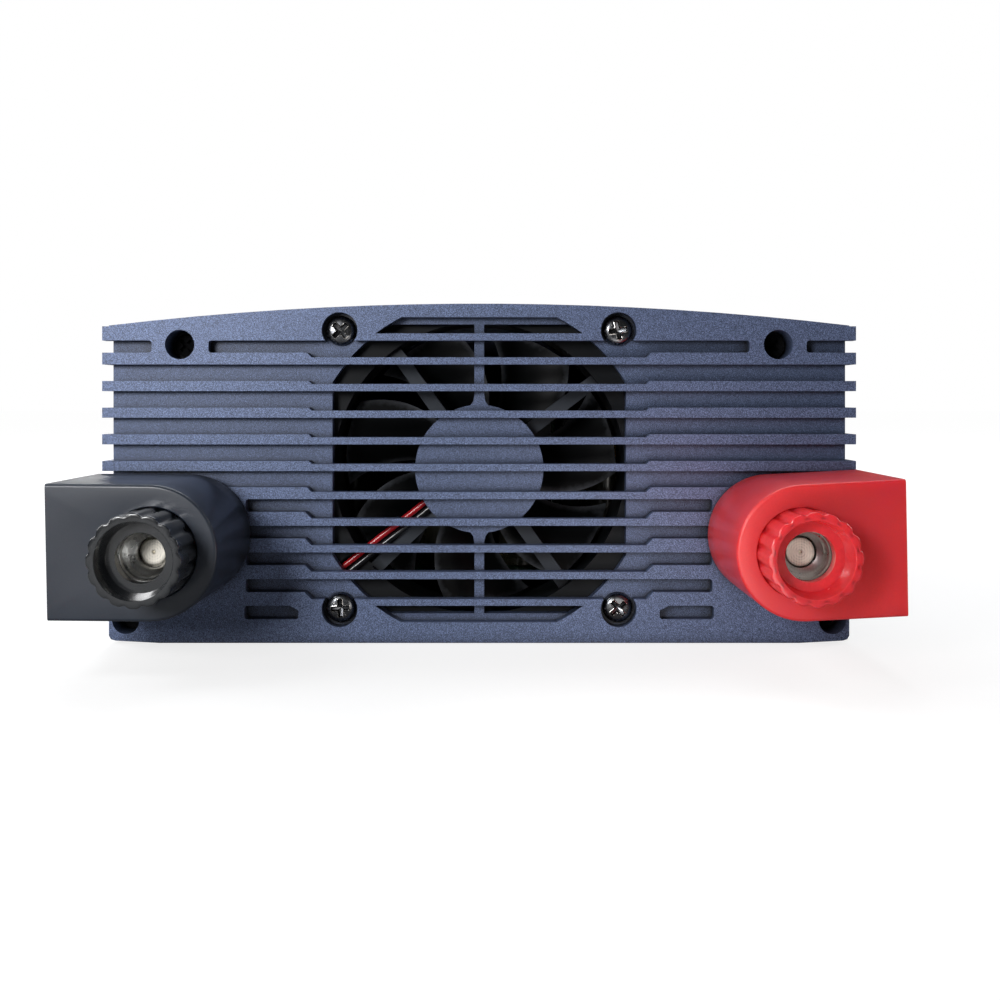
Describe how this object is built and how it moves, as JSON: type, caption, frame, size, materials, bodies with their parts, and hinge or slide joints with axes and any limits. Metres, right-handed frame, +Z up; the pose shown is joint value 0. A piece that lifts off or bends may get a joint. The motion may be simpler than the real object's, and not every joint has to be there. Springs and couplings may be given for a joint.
{
  "type": "power inverter",
  "caption": "Arched aluminium power inverter with a ribbed fan grille and two booted battery terminals at one end, and mains outlets, a rocker switch and vents at the other.",
  "frame": {"origin": "centre of the base plate's underside", "axes": "+X to the right when facing the DC end, +Y from the DC end to the AC end, +Z up"},
  "size_m": [0.248, 0.472, 0.1003],
  "materials": {
    "panel_paint": "fine textured powder coat",
    "case_paint": "fine textured powder coat",
    "base_paint": "satin black powder coat",
    "dark_screw": "dull black oxide",
    "fan_plastic": "satin moulded",
    "steel": "turned",
    "winding": "lacquered copper wire",
    "black_screw": "glossy black",
    "red_wire": "extruded insulation",
    "black_wire": "extruded insulation",
    "nylon": "natural nylon",
    "insulator_plastic": "glass-filled moulding",
    "stud_metal": "nickel plated",
    "fibre": "laminated insulating washer",
    "copper": "rolled copper",
    "board": "solder mask",
    "brass_part": "machined",
    "cap_sleeve": "shrink sleeve",
    "fuse_body": "translucent",
    "ferrite": "matt ferrite",
    "tape": "polyester tape over copper wire",
    "bare_aluminium": "sawn bar",
    "epoxy": "moulded package",
    "spring_steel": "rolled",
    "dark_sleeve": "shrink sleeve",
    "green_core": "epoxy coated core",
    "outlet_plastic": "moulded",
    "switch_black": "moulded",
    "insert_metal": "nickel plated",
    "led_green": "diffused lens",
    "rotor_plastic": "semi-gloss moulded",
    "magnet": "bonded magnet",
    "black_knob": "semi-gloss",
    "red_knob": "semi-gloss, slightly translucent",
    "black_boot": "satin soft vinyl",
    "red_boot": "satin soft vinyl",
    "rocker_red": "moulded",
    "button_white": "moulded"
  },
  "bodies": {
    "case": {"dc_end_panel": "panel_paint", "ac_end_panel": "panel_paint", "top_shell": "case_paint", "base_plate": "base_paint", "dc_panel_screws": "dark_screw", "ac_panel_screws": "dark_screw", "base_screws": "dark_screw", "fan_frame": "fan_plastic", "fan_bearings": "steel", "fan_stator": "winding", "fan_screws": "black_screw", "fan_lead_red": "red_wire", "fan_lead_black": "black_wire", "fan_connector": "nylon", "insulator_negative": "insulator_plastic", "insulator_positive": "insulator_plastic", "stud_negative": "stud_metal", "stud_positive": "stud_metal", "stud_insulating_washers": "fibre", "stud_lock_washers": "steel", "stud_nuts": "steel", "busbar_negative": "copper", "busbar_positive": "copper", "main_board": "board", "board_standoffs": "brass_part", "board_screws": "steel", "input_capacitors": "cap_sleeve", "blade_fuses": "fuse_body", "transformer_cores": "ferrite", "transformer_windings": "tape", "heat_spreaders": "bare_aluminium", "power_transistors": "epoxy", "transistor_clamps": "spring_steel", "bus_capacitors": "dark_sleeve", "choke_core": "green_core", "choke_winding": "winding", "control_board": "board", "ac_wires": "black_wire", "ac_outlets": "outlet_plastic", "outlet_contacts": "brass_part", "rocker_housing": "switch_black", "breaker_body": "switch_black", "usb_port": "insert_metal", "remote_jack": "switch_black", "status_leds": "led_green", "ground_stud": "brass_part", "ground_nut": "steel"},
    "fan": {"fan_rotor": "rotor_plastic", "fan_magnet_ring": "magnet", "fan_shaft": "steel"},
    "negative_washer": {"clamp_washer_negative": "steel"},
    "negative_knob": {"knob_negative": "black_knob", "knob_insert_negative": "insert_metal"},
    "positive_washer": {"clamp_washer_positive": "steel"},
    "positive_knob": {"knob_positive": "red_knob", "knob_insert_positive": "insert_metal"},
    "negative_boot": {"boot_negative": "black_boot"},
    "positive_boot": {"boot_positive": "red_boot"},
    "rocker": {"power_rocker": "rocker_red"},
    "reset_button": {"breaker_button": "button_white"}
  },
  "joints": [
    {"name": "fan_spin", "type": "hinge", "parent": "case", "child": "fan", "pos_m": [0, -0.179, 0.0512], "axis": [0, 1, 0], "continuous": true},
    {"name": "negative_washer_slide", "type": "slide", "parent": "case", "child": "negative_washer", "axis": [0, -1, 0], "range_m": [-0.01751, 0.00751]},
    {"name": "negative_knob_turn", "type": "hinge", "parent": "negative_washer", "child": "negative_knob", "pos_m": [-0.0846, -0.245, 0.0321], "axis": [0, -1, 0], "range_deg": [-5040, 2160]},
    {"name": "positive_washer_slide", "type": "slide", "parent": "case", "child": "positive_washer", "axis": [0, -1, 0], "range_m": [-0.01501, 0.00751]},
    {"name": "positive_knob_turn", "type": "hinge", "parent": "positive_washer", "child": "positive_knob", "pos_m": [0.0846, -0.245, 0.0321], "axis": [0, -1, 0], "range_deg": [-4320, 2160]},
    {"name": "negative_boot_pull", "type": "slide", "parent": "case", "child": "negative_boot", "axis": [0, -1, 0], "range_m": [0, 0.06]},
    {"name": "positive_boot_pull", "type": "slide", "parent": "case", "child": "positive_boot", "axis": [0, -1, 0], "range_m": [0, 0.06]},
    {"name": "rocker_tip", "type": "hinge", "parent": "case", "child": "rocker", "pos_m": [0.058, 0.195, 0.066], "axis": [1, 0, 0], "range_deg": [-20, 0]},
    {"name": "breaker_trip", "type": "slide", "parent": "case", "child": "reset_button", "axis": [0, 1, 0], "range_m": [0, 0.0035]}
  ],
  "couplings": [
    {"joint": "negative_washer_slide", "follows": "negative_knob_turn", "m_per_rad": 0.00019894},
    {"joint": "positive_washer_slide", "follows": "positive_knob_turn", "m_per_rad": 0.00019894}
  ]
}
